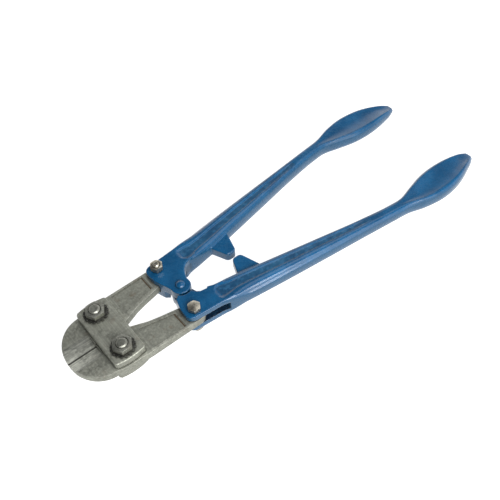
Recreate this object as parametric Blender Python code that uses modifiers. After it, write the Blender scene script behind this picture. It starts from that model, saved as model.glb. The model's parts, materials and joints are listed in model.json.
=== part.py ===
"""Bolt cutters, 460 mm overall, with forged spoon-grip handles.

Frame: origin at the centre of the bounding box's underside, X along the tool
from the blades (-X) to the grips (+X), +Y towards the left handle, +Z up.
Inside the functions a plan position is given in millimetres as (x, y), with x
measured from the blade tips and z from the tool's middle plane.
"""
import math

import bmesh
import bpy
import numpy as np
from mathutils import Matrix, Vector

MM = 0.001

# ---- driving dimensions, millimetres -----------------------------------------
LENGTH = 460.0                  # blade tips to handle ends
GAP = 0.3                       # clearance kept between touching pieces

JAW_BOLT_X, JAW_BOLT_Y = 43.1, 22.4
ARM_BOLT_X, ARM_BOLT_Y = 112.0, 29.3
CENTRE_X = 117.9                # centre rivet, on the tool's axis

STACK_HALF = 11.5               # middle plane to the outer face of a plate
FORK_HALF = 10.3                # middle plane to the outer face of a handle's fork
JAW_HALF = 4.0                  # half the jaws' thickness
PLATE_THICK = STACK_HALF - JAW_HALF - GAP
PLATE_FRONT, PLATE_REAR = 28.8, 58.6
PLATE_HALF_WIDTH = 33.2         # at the corners
PLATE_CROWN = 2.1               # how far the rounded ends stand past the corners

JAW_BOLT_R = 5.0
JAW_NUT_FLATS, JAW_NUT_HIGH = 16.0, 5.0
JAW_HEAD_FLATS, JAW_HEAD_HIGH = 16.0, 6.2
TOOTH_WASHER_R, TOOTH_WASHER_THICK, TEETH = 11.2, 1.1, 16

ARM_BOLT_R = 3.2
ARM_NUT_FLATS, ARM_NUT_HIGH = 11.0, 4.6
ARM_HEAD_FLATS, ARM_HEAD_HIGH = 11.0, 4.0
SPRING_WASHER_R, SPRING_WASHER_THICK = 5.2, 1.5
BOLT_END = 1.5                  # bolt end standing out of its nut

RIVET_R, RIVET_HEAD_R, RIVET_HEAD_HIGH = 3.4, 4.6, 3.0
RIVET_DEPTH = 7.2               # how far the rivet reaches past the middle plane
PIVOT_PLAY = 2.3                # hidden play of the centre pivot, on the radius

BLADE_LONG, BLADE_WIDE = 29.0, 34.0     # half axes of the rounded blade outline
SEAM_HALF = 0.15                # half the gap between the two blades
KNUCKLE_FRONT_Y, KNUCKLE_REAR_Y = 36.2, 37.6    # outer edge beside the plates
NOTCH_R = 1.5                   # small relief at the root of the blades, under the plates
BEVEL_WIDE = 13.5               # ground bevel beside each cutting edge
BEVEL_REAR_X = PLATE_FRONT - 1.2
EDGE_HALF = 0.4                 # half thickness left at the cutting edge
ARM_END_R = 10.0                # rounded end of a jaw's arm
ARM_END_Y = 38.0                # outer side of that end

CORNER_R = 7.2                  # outer front corner of a handle's fork
CORNER_X, CORNER_Y = 108.8, 30.3
LOBE_R = 9.5                    # lapped lobe round the centre rivet
LAP_GAP = 1.9                   # space between a lobe and the other handle
FORK_ROUND = 1.7                # rounding of the fork's edges
SWING_ROOM = 41.0               # degrees of the front kept clear for opening
SLOT_HALF = JAW_HALF + GAP      # half height of the fork slot
SLOT_WALL_Y = 15.4              # inner wall of the fork slot
SLOT_REAR_X = 142.5
FORK_REAR_X = 150.0             # where the flat fork ends and the shank begins
HOLLOW_R = 8.8                  # round front end of the shank's recess
FORK_OPEN_Y = 60.0              # the slot's cutter runs out past the outer side

LUG_X, LUG_FACE_Y, LUG_HALF = 179.5, 3.0, 5.2
LUG_NOSE_R = 4.6

# handle shank and grip: x, centre line y, half width, half thickness
SHANK = (
    (134.0, 29.6, 10.1, 10.1),
    (146.0, 30.7, 11.8, 10.1),
    (160.0, 32.4, 12.1, 10.0),
    (197.0, 38.6, 10.7, 9.8),
    (248.0, 46.8, 8.5, 9.1),
    (299.0, 54.8, 6.3, 8.3),
    (336.0, 59.9, 5.7, 7.8),
    (352.0, 61.4, 6.2, 7.6),
    (372.0, 62.0, 11.3, 7.9),
    (392.0, 61.5, 15.3, 8.2),
    (408.0, 60.8, 15.9, 8.2),
    (426.0, 59.7, 14.0, 7.9),
    (442.0, 58.2, 10.2, 6.7),
    (453.0, 57.2, 7.0, 4.8),
    (460.0, 56.7, 3.8, 3.0),
)
SHANK_WIDEST, GRIP_WIDEST = 11.0, 16.0  # half widths for which the roundings are given
SIDE_BULGE = 1.7                # side walls stand out to the parting line
OUTER_ROUND, INNER_ROUND = 5.4, 2.0     # top edges of the shank
INNER_SLOPE = 1.2               # the inner rim falls away by this much
GRIP_ROUND = 2.8                # slanted flank under the grip's crease
POCKET_HALF, POCKET_DEEP = 4.6, 1.2     # long recess in the shank's faces
POCKET_OFFSET = 1.6             # it lies nearer to the inner side
POCKET_START, POCKET_END = 136.0, 318.0
POCKET_FLARE = 2.8              # the recess is wider by this at its front end
BLEND_START, BLEND_END = 134.0, 172.0   # the section turns from fork to shank
GRIP_START, GRIP_FULL = 338.0, 372.0    # the section turns from shank to grip
DISH_DEEP = 0.8                 # hollow in the faces of the grip
DISH_SHARE = 0.76               # the hollow's share of the grip's width
POCKET_RUN_IN, POCKET_RUN_OUT = 5.0, 40.0       # over which the recess deepens and fades
WALL_RUN = 0.9                  # plan width of the recess's slanted walls
SHANK_SECTIONS = 34

# plan outlines that are no simple arcs, left-hand side
ARM_INNER = ((52.0, 1.8), (60.0, 3.5), (67.0, 6.2), (75.0, 9.4), (86.0, 12.1),
             (97.0, 14.3), (106.0, 16.2))           # a jaw's arm, knuckle to end
NECK_FRONT = ((106.6, 8.0), (104.4, 14.0), (102.3, 21.0))     # lobe to front corner
NECK_REAR = ((150.0, 20.6), (141.0, 19.0), (135.0, 16.6), (131.0, 12.4), (128.6, 7.5))
NECK_RELIEF = ((117.9, 4.0), (121.8, 10.9), (124.4, 14.6), (127.9, 17.1), (134.0, 18.2),
               (142.0, 10.0), (132.0, 0.0))         # taken off behind the other lobe
LUG_FRONT = ((166.5, 26.0), (167.5, 20.5))
LUG_ROOT = ((191.5, 26.0), (192.5, 33.0), (168.0, 33.0))

PLATE_CORNER = 1.5              # cut off the strap plates' corners
TOOTH_DEEP = 2.0                # notches between the lock washers' teeth
HEX_INSET = 0.6                 # a hexagon's round top face stands in from its flats
HEX_DROP = 1.8                  # its chamfer drops by this, CLEAR outside its corners
CLEAR = 2.0                     # cutters run past the piece by this
THROUGH = 40.0                  # and cutters through everything by this

ARM_BOLT_END = FORK_HALF + SPRING_WASHER_THICK + ARM_NUT_HIGH + BOLT_END + 3 * GAP
MID_Z = ARM_BOLT_END            # the right arm bolt's end is the lowest point
ORIGIN = Vector((-LENGTH / 2, 0.0, MID_Z))


# ---- helpers -------------------------------------------------------------------
def material(name, colour, roughness, metallic):
    mat = bpy.data.materials.new(name)
    mat.use_nodes = True
    shader = mat.node_tree.nodes["Principled BSDF"]
    shader.inputs["Base Color"].default_value = (*colour, 1.0)
    shader.inputs["Roughness"].default_value = roughness
    shader.inputs["Metallic"].default_value = metallic
    return mat


def collection(name):
    group = bpy.data.collections.new(name)
    bpy.context.scene.collection.children.link(group)
    return group


def add(name, mesh, group):
    obj = bpy.data.objects.new(name, mesh)
    group.objects.link(obj)
    return obj


def arc(centre, radius, start, end, steps):
    """Points on a circle, from one angle to another in degrees."""
    angles = np.radians(np.linspace(start, end, steps))
    return [(centre[0] + radius * math.cos(a), centre[1] + radius * math.sin(a))
            for a in angles]


def slab_mesh(name, outline, low, high):
    """A flat piece from its plan outline, between two heights."""
    curve = bpy.data.curves.new(name, "CURVE")
    curve.dimensions = "2D"
    curve.fill_mode = "BOTH"
    curve.extrude = (high - low) / 2 * MM
    spline = curve.splines.new("POLY")
    spline.points.add(len(outline) - 1)
    for point, (x, y) in zip(spline.points, outline):
        point.co = (x * MM, y * MM, 0.0, 1.0)
    spline.use_cyclic_u = True
    holder = add(name, curve, bpy.context.scene.collection)
    bpy.context.view_layer.update()
    mesh = bpy.data.meshes.new_from_object(holder.evaluated_get(
        bpy.context.evaluated_depsgraph_get()))
    bpy.data.objects.remove(holder)
    bm = bmesh.new()
    bm.from_mesh(mesh)
    bmesh.ops.remove_doubles(bm, verts=bm.verts, dist=1e-6)
    bmesh.ops.recalc_face_normals(bm, faces=bm.faces)
    bmesh.ops.translate(bm, verts=bm.verts, vec=(0.0, 0.0, (low + high) / 2 * MM))
    bm.to_mesh(mesh)
    bm.free()
    return mesh


def cylinder_mesh(name, centre, radius, low, high, segments=32):
    """A round or, with few segments, a prismatic piece along Z."""
    bm = bmesh.new()
    bmesh.ops.create_cone(bm, cap_ends=True, segments=segments, radius1=radius * MM,
                          radius2=radius * MM, depth=(high - low) * MM)
    shift = Vector((centre[0], centre[1], (low + high) / 2)) * MM
    bmesh.ops.translate(bm, verts=bm.verts, vec=shift)
    mesh = bpy.data.meshes.new(name)
    bm.to_mesh(mesh)
    bm.free()
    return mesh


def turned_mesh(name, centre, profile, steps=28):
    """A turned piece from its (radius, height) profile, listed top to bottom."""
    mesh = bpy.data.meshes.new(name)
    verts = [(r * MM, 0.0, z * MM) for r, z in profile]
    edges = [(i, i + 1) for i in range(len(verts) - 1)]
    mesh.from_pydata(verts, edges, [])
    holder = add(name, mesh, bpy.context.scene.collection)
    screw = holder.modifiers.new("Turn", "SCREW")
    screw.steps = steps
    screw.render_steps = steps
    screw.use_merge_vertices = True
    screw.merge_threshold = 0.00001
    bpy.context.view_layer.update()
    result = bpy.data.meshes.new_from_object(holder.evaluated_get(
        bpy.context.evaluated_depsgraph_get()))
    bpy.data.objects.remove(holder)
    result.transform(Matrix.Translation(Vector((centre[0], centre[1], 0.0)) * MM))
    return result


def boolean(obj, cutter, operation="DIFFERENCE"):
    mod = obj.modifiers.new(operation.title(), "BOOLEAN")
    mod.operation = operation
    mod.object = cutter


def make_cutter(mesh):
    cutter = add("cut_" + mesh.name, mesh, CUTTERS)
    cutter.hide_render = True
    cutter.display_type = "WIRE"
    return cutter


def bore(obj, centre, radius, low=-THROUGH, high=THROUGH):
    mesh = cylinder_mesh("bore", centre, radius, low, high)
    boolean(obj, make_cutter(mesh))


def bevel(obj, width, segments=1, angle=35.0):
    mod = obj.modifiers.new("Bevel", "BEVEL")
    mod.width = width * MM
    mod.segments = segments
    mod.limit_method = "ANGLE"
    mod.angle_limit = math.radians(angle)


def finish(obj, mat, pivot, flipped=False):
    """Set the piece's material and its origin; turn a right-hand piece over about X."""
    anchor = Vector((pivot[0], pivot[1], 0.0))
    turn_over = Matrix.Diagonal((1.0, -1.0, -1.0, 1.0))
    shift = Matrix.Translation(-anchor * MM)
    if flipped:
        shift = turn_over @ shift
        anchor.y = -anchor.y
    obj.data.transform(shift)
    for mod in obj.modifiers:
        if mod.type == "BOOLEAN":
            mod.object.data.transform(shift)
            mod.object.location = (anchor + ORIGIN) * MM
    obj.data.materials.clear()
    obj.data.materials.append(mat)
    obj.data.shade_smooth()
    obj.data.set_sharp_from_angle(angle=math.radians(30.0))
    obj.location = (anchor + ORIGIN) * MM
    return obj


# ---- jaws and plates -----------------------------------------------------------
def blade_bevel(side):
    """Wedge that grinds one face of a blade down to its cutting edge."""
    slope = (JAW_HALF - EDGE_HALF) / (BEVEL_WIDE - SEAM_HALF)
    inner_y, outer_y = -CLEAR, BEVEL_WIDE + CLEAR
    low = EDGE_HALF + slope * (inner_y - SEAM_HALF)
    high = EDGE_HALF + slope * (outer_y - SEAM_HALF)
    top = high + CLEAR
    section = [(inner_y, low), (outer_y, high), (outer_y, top), (inner_y, top)]
    mesh = slab_mesh("blade_bevel", section, -CLEAR, BEVEL_REAR_X)
    turn = Matrix(((0, 0, 1, 0), (1, 0, 0, 0), (0, side, 0, 0), (0, 0, 0, 1)))
    mesh.transform(turn)
    if side < 0:
        mesh.flip_normals()
    return mesh


def jaw_outline():
    """Left jaw in plan: blade, knuckle and arm, anticlockwise from the knuckle."""
    arm_centre = (ARM_BOLT_X, ARM_END_Y - ARM_END_R)
    inner = [(JAW_BOLT_X - 2.0, SEAM_HALF), *ARM_INNER]
    end = arc(arm_centre, ARM_END_R, -78.0, 92.0, 14)
    outer = [(PLATE_REAR + 3.0, KNUCKLE_REAR_Y), (PLATE_FRONT + 5.0, KNUCKLE_FRONT_Y)]
    blade = [(BLADE_LONG * (1.0 - math.sin(t)), BLADE_WIDE * math.cos(t))
             for t in np.linspace(0.02, math.radians(87.0), 16)]
    front = [(0.0, SEAM_HALF)]
    notch = arc((PLATE_FRONT + 2 * NOTCH_R, SEAM_HALF), NOTCH_R, 180.0, 0.0, 7)
    return inner + end + outer + blade + front + notch


def jaw(name, flipped):
    body = add(name, slab_mesh(name, jaw_outline(), -JAW_HALF, JAW_HALF), PARTS)
    bevel(body, 0.5, angle=50.0)
    for side in (1.0, -1.0):
        boolean(body, make_cutter(blade_bevel(side)))
    bore(body, (JAW_BOLT_X, JAW_BOLT_Y), JAW_BOLT_R + GAP)
    bore(body, (ARM_BOLT_X, ARM_BOLT_Y), ARM_BOLT_R + GAP)
    return finish(body, STEEL, (JAW_BOLT_X, JAW_BOLT_Y), flipped)


def plate_outline():
    """Strap plate in plan, with crowned ends and small rounded corners."""
    half = (PLATE_REAR - PLATE_FRONT) / 2
    middle = (PLATE_REAR + PLATE_FRONT) / 2
    radius = (half ** 2 + PLATE_CROWN ** 2) / (2 * PLATE_CROWN)
    centre_y = PLATE_HALF_WIDTH + PLATE_CROWN - radius
    spread = math.degrees(math.asin((half - PLATE_CORNER) / radius))
    end = arc((middle, centre_y), radius, 90.0 - spread, 90.0 + spread, 9)
    corner_y = PLATE_HALF_WIDTH - PLATE_CORNER
    top = [(PLATE_REAR, corner_y)] + end + [(PLATE_FRONT, corner_y)]
    return top + [(PLATE_FRONT + PLATE_REAR - x, -y) for x, y in top]


def plate(name, low, high):
    body = add(name, slab_mesh(name, plate_outline(), low, high), PARTS)
    bevel(body, 0.9, segments=2)
    for y in (JAW_BOLT_Y, -JAW_BOLT_Y):
        bore(body, (JAW_BOLT_X, y), JAW_BOLT_R + GAP)
    return finish(body, PLATE_STEEL, ((PLATE_FRONT + PLATE_REAR) / 2, 0.0))


# ---- fasteners -----------------------------------------------------------------
def bolt(name, centre, radius, flats, head_high, seat, end_z, mat, flipped=False):
    """Hexagon bolt, its head under the face at -seat, with a domed end at end_z."""
    head_top = -seat - GAP
    head_low = head_top - head_high
    corner = flats / math.sqrt(3)
    head = cylinder_mesh(name, centre, corner, head_low, head_top, segments=6)
    body = add(name, head, PARTS)
    chamfer = turned_mesh("head_chamfer", centre, [
        (0.0, head_top + CLEAR), (corner + CLEAR, head_top + CLEAR),
        (corner + CLEAR, head_low + HEX_DROP), (flats / 2 - HEX_INSET, head_low - 0.1),
        (0.0, head_low - 0.1)])
    boolean(body, make_cutter(chamfer), "INTERSECT")
    shank = turned_mesh("shank", centre, [
        (0.0, end_z), (radius * 0.55, end_z - 0.25), (radius * 0.9, end_z - 0.9),
        (radius, end_z - 1.6), (radius, head_top - 1.0), (0.0, head_top - 1.0)])
    boolean(body, make_cutter(shank), "UNION")
    return finish(body, mat, centre, flipped)


def nut(name, centre, bore_r, flats, low, high, mat, flipped=False):
    """Hexagon nut with chamfered upper corners."""
    corner = flats / math.sqrt(3)
    body = add(name, cylinder_mesh(name, centre, corner, low, high, segments=6), PARTS)
    chamfer = turned_mesh("nut_chamfer", centre, [
        (0.0, high + 0.1), (flats / 2 - HEX_INSET, high + 0.1),
        (corner + CLEAR, high - HEX_DROP), (corner + CLEAR, low - CLEAR),
        (0.0, low - CLEAR)])
    boolean(body, make_cutter(chamfer), "INTERSECT")
    bore(body, centre, bore_r + GAP)
    return finish(body, mat, centre, flipped)


def tooth_washer(name, centre):
    """Lock washer with teeth round its outer edge."""
    outline = []
    for tooth in range(TEETH):
        start = 360.0 / TEETH * tooth
        width = 360.0 / TEETH
        outline += arc(centre, TOOTH_WASHER_R, start, start + width * 0.5, 3)
        outline += arc(centre, TOOTH_WASHER_R - TOOTH_DEEP, start + width * 0.62,
                       start + width * 0.88, 2)
    low = STACK_HALF + GAP
    body = add(name, slab_mesh(name, outline, low, low + TOOTH_WASHER_THICK), PARTS)
    bore(body, centre, JAW_BOLT_R + GAP)
    return finish(body, DARK_STEEL, centre)


def spring_washer(name, centre, flipped):
    """Split spring washer: a square-section ring with a slanted cut."""
    low = FORK_HALF + GAP
    high = low + SPRING_WASHER_THICK
    ring = cylinder_mesh(name, centre, SPRING_WASHER_R, low, high)
    body = add(name, ring, PARTS)
    bore(body, centre, ARM_BOLT_R + GAP)
    split = [(centre[0] - 0.6, centre[1] - 14.0), (centre[0] + 0.6, centre[1] - 14.0),
             (centre[0] + 0.2, centre[1]), (centre[0] - 1.0, centre[1])]
    boolean(body, make_cutter(slab_mesh("split", split, low - 2.0, high + 2.0)))
    return finish(body, ZINC, centre, flipped)


def jaw_fasteners(side, y):
    centre = (JAW_BOLT_X, y)
    nut_low = STACK_HALF + TOOTH_WASHER_THICK + 2 * GAP
    end = nut_low + JAW_NUT_HIGH + BOLT_END
    bolt("jaw_bolt_" + side, centre, JAW_BOLT_R, JAW_HEAD_FLATS, JAW_HEAD_HIGH, STACK_HALF,
         end, DARK_STEEL)
    tooth_washer("jaw_lock_washer_" + side, centre)
    nut("jaw_nut_" + side, centre, JAW_BOLT_R, JAW_NUT_FLATS, nut_low,
        nut_low + JAW_NUT_HIGH, DARK_STEEL)


def arm_fasteners(side, flipped):
    """Arm bolt set of the left handle; the right one is the same, turned over."""
    centre = (ARM_BOLT_X, ARM_BOLT_Y)
    nut_low = FORK_HALF + SPRING_WASHER_THICK + 2 * GAP
    bolt("arm_bolt_" + side, centre, ARM_BOLT_R, ARM_HEAD_FLATS, ARM_HEAD_HIGH, FORK_HALF,
         ARM_BOLT_END, ZINC, flipped)
    spring_washer("arm_spring_washer_" + side, centre, flipped)
    nut("arm_nut_" + side, centre, ARM_BOLT_R, ARM_NUT_FLATS, nut_low,
        nut_low + ARM_NUT_HIGH, ZINC, flipped)


# ---- handles -------------------------------------------------------------------
def smooth_rows(rows, count):
    """Rows on a smooth curve through the given rows, closer together at the tip."""
    table = np.array(rows)
    xs = table[:, 0]
    slopes = np.gradient(table, xs, axis=0)
    ease = np.linspace(0.0, 1.0, count)
    wanted = xs[0] + (xs[-1] - xs[0]) * (1.0 - (1.0 - ease) ** 1.35)
    result = []
    for x in wanted:
        i = min(np.searchsorted(xs, x, side="right") - 1, len(xs) - 2)
        h = xs[i + 1] - xs[i]
        t = (x - xs[i]) / h
        a = (1 + 2 * t) * (1 - t) ** 2
        b = t * (1 - t) ** 2
        c = t * t * (3 - 2 * t)
        d = t * t * (t - 1)
        result.append(a * table[i] + b * h * slopes[i] + c * table[i + 1]
                      + d * h * slopes[i + 1])
    return result


def ramp(x, start, end):
    t = min(max((x - start) / (end - start), 0.0), 1.0)
    return t * t * (3.0 - 2.0 * t)


def shank_section(x, centre, half_width, half_thick):
    """Closed section of shank or grip, from its outer side over the top and back."""
    grip = ramp(x, GRIP_START, GRIP_FULL)
    shank = 1.0 - grip
    scale = half_width / SHANK_WIDEST * shank
    away = ramp(x, BLEND_START, BLEND_END)
    flank = GRIP_ROUND * grip * half_width / GRIP_WIDEST
    outer = (FORK_ROUND + (OUTER_ROUND - FORK_ROUND) * away) * scale + flank
    inner = INNER_ROUND * scale + flank
    slope = INNER_SLOPE * scale * away
    bulge = SIDE_BULGE * away
    pocket = POCKET_DEEP * ramp(x, POCKET_START, POCKET_START + POCKET_RUN_IN)
    pocket *= 1.0 - ramp(x, POCKET_END - POCKET_RUN_OUT, POCKET_END)
    dish = DISH_DEEP * grip * (1.0 - ramp(x, 445.0, LENGTH))
    depth = max(pocket, dish)
    flare = POCKET_FLARE * (1.0 - ramp(x, 140.0, 158.0))
    half_pocket = (POCKET_HALF + flare) * scale + DISH_SHARE * half_width * grip
    middle = -POCKET_OFFSET * scale
    upper = [
        (half_width + bulge, 0.0),
        (half_width + 0.75 * bulge, 0.5 * half_thick),
        (half_width + 0.1, half_thick - 0.8 * outer),
        (half_width - 0.4 * outer, half_thick - 0.22 * outer),
        (half_width - outer, half_thick),
        (middle + half_pocket, half_thick - 0.1 * depth),
        (middle + half_pocket - WALL_RUN, half_thick - depth),
        (middle - half_pocket + WALL_RUN, half_thick - depth),
        (middle - half_pocket, half_thick - 0.1 * depth - 0.3 * slope),
        (inner - half_width, half_thick - slope),
        (0.3 * inner - half_width, half_thick - slope - 0.3 * inner),
        (-half_width - 0.1, half_thick - slope - inner),
        (-half_width - 0.75 * bulge, 0.5 * half_thick),
        (-half_width - bulge, 0.0),
    ]
    lower = [(u, -v) for u, v in reversed(upper[1:-1])]
    return [(x, centre + u, v) for u, v in upper + lower]


def shank_mesh():
    """Loft of the shank and grip through its sections."""
    bm = bmesh.new()
    rings = []
    for row in smooth_rows(SHANK, SHANK_SECTIONS):
        section = shank_section(*row)
        rings.append([bm.verts.new(Vector(p) * MM) for p in section])
    count = len(rings[0])
    for ring, following in zip(rings, rings[1:]):
        for i in range(count):
            j = (i + 1) % count
            bm.faces.new((ring[i], ring[j], following[j], following[i]))
    for ring in (rings[0], rings[-1]):
        bm.faces.new(ring)
    bmesh.ops.recalc_face_normals(bm, faces=bm.faces)
    mesh = bpy.data.meshes.new("shank")
    bm.to_mesh(mesh)
    bm.free()
    return mesh


def fork_outline():
    """Left handle's front in plan: lapped lobe, neck and boss, clockwise."""
    lobe = arc((CENTRE_X, 0.0), LOBE_R, 15.0, -190.0, 22)
    corner = arc((CORNER_X, CORNER_Y), CORNER_R, 185.0, 96.0, 10)
    hollow = arc((FORK_REAR_X - 5.0, 30.2), HOLLOW_R, 55.0, 305.0, 12)
    return [*lobe, *NECK_FRONT, *corner, (FORK_REAR_X, 41.2), *hollow, *NECK_REAR]


def lap_outline():
    """Where a handle gives way to the other one's lobe, in the half it leaves free."""
    circle = arc((CENTRE_X, 0.0), LOBE_R + LAP_GAP, -180.0, 180.0 - SWING_ROOM, 40)
    reach = 24.0
    angle = math.radians(180.0 - SWING_ROOM)
    corner = (CENTRE_X + reach * math.cos(angle), reach * math.sin(angle))
    return circle + [corner, (CENTRE_X - reach, 0.0)]


def slot_outline():
    """Fork slot in plan, open to the front and to the outer side."""
    wall_radius = ARM_BOLT_Y - SLOT_WALL_Y
    curve = arc((ARM_BOLT_X, ARM_BOLT_Y), wall_radius, -90.0, -22.0, 8)
    return ([(80.0, SLOT_WALL_Y)] + curve
            + [(SLOT_REAR_X, 29.5), (SLOT_REAR_X, FORK_OPEN_Y), (80.0, FORK_OPEN_Y)])


def lug_outline():
    """Stop lug in plan, a rounded tongue that stands in from the shank."""
    centre_y = LUG_FACE_Y + LUG_NOSE_R
    first = arc((LUG_X - 1.6, centre_y), LUG_NOSE_R, 205.0, 270.0, 6)
    second = arc((LUG_X + 1.6, centre_y), LUG_NOSE_R, 270.0, 345.0, 6)
    return [*LUG_FRONT, *first, *second, *LUG_ROOT]


def handle(name, flipped):
    """One forged handle. Both are alike, except for the hidden rivet hole."""
    body = add(name, slab_mesh(name, fork_outline(), -FORK_HALF, FORK_HALF), PARTS)
    bevel(body, FORK_ROUND, segments=2)
    boolean(body, make_cutter(shank_mesh()), "UNION")
    lug = add("lug", slab_mesh("lug", lug_outline(), -LUG_HALF, LUG_HALF), CUTTERS)
    bevel(lug, 1.4, segments=2)
    lug.hide_render = True
    lug.display_type = "WIRE"
    boolean(body, lug, "UNION")
    boolean(body, make_cutter(slab_mesh("slot", slot_outline(), -SLOT_HALF, SLOT_HALF)))
    boolean(body, make_cutter(slab_mesh("lap", lap_outline(), -THROUGH, GAP / 2)))
    boolean(body, make_cutter(slab_mesh("relief", NECK_RELIEF, -THROUGH, GAP / 2)))
    centre = (CENTRE_X, 0.0)
    bore(body, (ARM_BOLT_X, ARM_BOLT_Y), ARM_BOLT_R + GAP)
    if flipped:
        bore(body, centre, RIVET_R + PIVOT_PLAY, low=-1.0, high=RIVET_DEPTH + GAP)
        bore(body, centre, RIVET_R - 1.0 + GAP, low=FORK_HALF - 1.5)
    else:
        bore(body, centre, RIVET_R + GAP)
    return finish(body, BLUE, (ARM_BOLT_X, ARM_BOLT_Y), flipped)


def dome(radius, base, high):
    """Half profile of a domed rivet head, from its crown to its rim."""
    return [(radius * math.sin(t), base + high * math.cos(t))
            for t in np.linspace(0.0, math.radians(80.0), 6)]


def rivet():
    """Centre rivet, fixed in the left handle, with its head on top."""
    base = FORK_HALF + GAP
    profile = dome(RIVET_HEAD_R, base, RIVET_HEAD_HIGH)
    profile += [(RIVET_HEAD_R, base), (RIVET_R, base), (RIVET_R, -RIVET_DEPTH + 0.4),
                (RIVET_R - 0.4, -RIVET_DEPTH), (0.0, -RIVET_DEPTH)]
    centre = (CENTRE_X, 0.0)
    body = add("centre_rivet", turned_mesh("centre_rivet", centre, profile), PARTS)
    return finish(body, BLUE, centre)


def rivet_tail():
    """Closed lower head of the centre rivet, on the right handle's underside."""
    base = FORK_HALF + GAP
    profile = dome(RIVET_HEAD_R, base, RIVET_HEAD_HIGH)
    stub = RIVET_R - 1.0
    profile += [(RIVET_HEAD_R, base), (stub, base), (stub, FORK_HALF - 1.2),
                (0.0, FORK_HALF - 1.2)]
    centre = (CENTRE_X, 0.0)
    body = add("centre_rivet_tail", turned_mesh("centre_rivet_tail", centre, profile), PARTS)
    return finish(body, BLUE, centre, flipped=True)


# ---- assembly ------------------------------------------------------------------
for old in list(bpy.data.objects):
    bpy.data.objects.remove(old)

PARTS = collection("bolt_cutters")
CUTTERS = collection("cutters")

STEEL = material("jaw_steel", (0.20, 0.205, 0.18), 0.45, 0.85)
PLATE_STEEL = material("plate_steel", (0.17, 0.175, 0.15), 0.45, 0.85)
DARK_STEEL = material("dark_steel", (0.09, 0.088, 0.08), 0.4, 0.9)
ZINC = material("zinc", (0.46, 0.42, 0.34), 0.35, 0.95)
BLUE = material("blue_paint", (0.015, 0.085, 0.205), 0.3, 0.0)

jaw("jaw_left", False)
jaw("jaw_right", True)
plate("top_plate", STACK_HALF - PLATE_THICK, STACK_HALF)
plate("bottom_plate", -STACK_HALF, PLATE_THICK - STACK_HALF)
jaw_fasteners("left", JAW_BOLT_Y)
jaw_fasteners("right", -JAW_BOLT_Y)
handle("handle_left", False)
handle("handle_right", True)
arm_fasteners("left", False)
arm_fasteners("right", True)
rivet()
rivet_tail()
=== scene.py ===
import json
import math

import bmesh
import bpy
import numpy as np
from mathutils import Matrix, Vector


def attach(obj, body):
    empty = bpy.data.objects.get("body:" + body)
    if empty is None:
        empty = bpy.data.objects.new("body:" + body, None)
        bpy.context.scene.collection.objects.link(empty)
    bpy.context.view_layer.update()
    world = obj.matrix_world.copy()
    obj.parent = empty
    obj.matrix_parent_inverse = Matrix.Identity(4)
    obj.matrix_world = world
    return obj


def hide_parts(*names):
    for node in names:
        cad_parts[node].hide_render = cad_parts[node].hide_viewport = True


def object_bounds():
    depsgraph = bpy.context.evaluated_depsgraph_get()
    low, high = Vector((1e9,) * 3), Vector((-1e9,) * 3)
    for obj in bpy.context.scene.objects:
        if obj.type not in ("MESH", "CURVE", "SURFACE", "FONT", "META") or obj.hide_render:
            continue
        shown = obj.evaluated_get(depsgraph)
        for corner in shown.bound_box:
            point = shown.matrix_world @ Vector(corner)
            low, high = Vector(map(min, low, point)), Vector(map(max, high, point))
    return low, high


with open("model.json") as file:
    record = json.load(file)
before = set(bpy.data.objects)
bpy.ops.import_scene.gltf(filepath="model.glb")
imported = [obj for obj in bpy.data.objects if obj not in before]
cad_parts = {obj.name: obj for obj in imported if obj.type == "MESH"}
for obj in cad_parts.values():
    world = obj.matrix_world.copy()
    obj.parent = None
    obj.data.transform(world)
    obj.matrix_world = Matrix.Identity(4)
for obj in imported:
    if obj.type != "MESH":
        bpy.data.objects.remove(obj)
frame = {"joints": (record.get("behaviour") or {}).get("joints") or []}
CAD_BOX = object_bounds()

# ---- driving dimensions, millimetres, in tool coordinates ------------------------
# x runs from the blade tips to the grips, y to the left handle, z up from the
# tool's middle plane.
MM = 0.001
JOINTS = {joint["name"]: joint for joint in frame["joints"]}
TIP_X = CAD_BOX[0][0]
MID_Z = JOINTS["jaw_left_pivot"]["pos_m"][2]
ORIGIN = Vector((TIP_X, 0.0, MID_Z))
LENGTH = 460.0
GAP = 0.3                       # clearance between neighbouring pieces

# pivots
JAW_BOLT_X, JAW_BOLT_Y = 43.1, 22.4
ARM_BOLT_X, ARM_BOLT_Y = 112.0, 29.3
CENTRE_X = 117.9                # centre rivet, on the tool's axis

# heights from the middle plane: plates' outer faces, forks, jaws
STACK_HALF = 11.5
FORK_HALF = 10.3
JAW_HALF = 4.0

# strap plates
PLATE_THICK = STACK_HALF - JAW_HALF - GAP
PLATE_FRONT, PLATE_REAR = 28.8, 58.6
PLATE_HALF_WIDTH, PLATE_CROWN = 33.2, 2.1
PLATE_CORNER, PLATE_ROUND = 1.5, 1.0

# bolts, nuts and washers
JAW_BOLT_R, JAW_NUT_FLATS, JAW_NUT_HIGH, JAW_HEAD_HIGH = 5.0, 16.0, 5.0, 6.2
TOOTH_WASHER_R, TOOTH_WASHER_THICK, TEETH = 11.2, 1.1, 16
ARM_BOLT_R, ARM_NUT_FLATS, ARM_NUT_HIGH, ARM_HEAD_HIGH = 3.2, 11.0, 4.6, 4.0
SPRING_WASHER_R, SPRING_WASHER_THICK, SPRING_WASHER_ROUND = 5.2, 1.5, 0.2
TOOTH_DEEP = 2.0
HEX_INSET, HEX_DROP = 0.6, 1.8  # chamfer of the hexagons' corners
BOLT_END = 1.5                  # how far a bolt stands out of its nut
THREAD_PITCH, THREAD_DEEP = 0.9, 0.42
COUNTERSINK = 1.4               # widening of a nut's bore at its upper face

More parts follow.
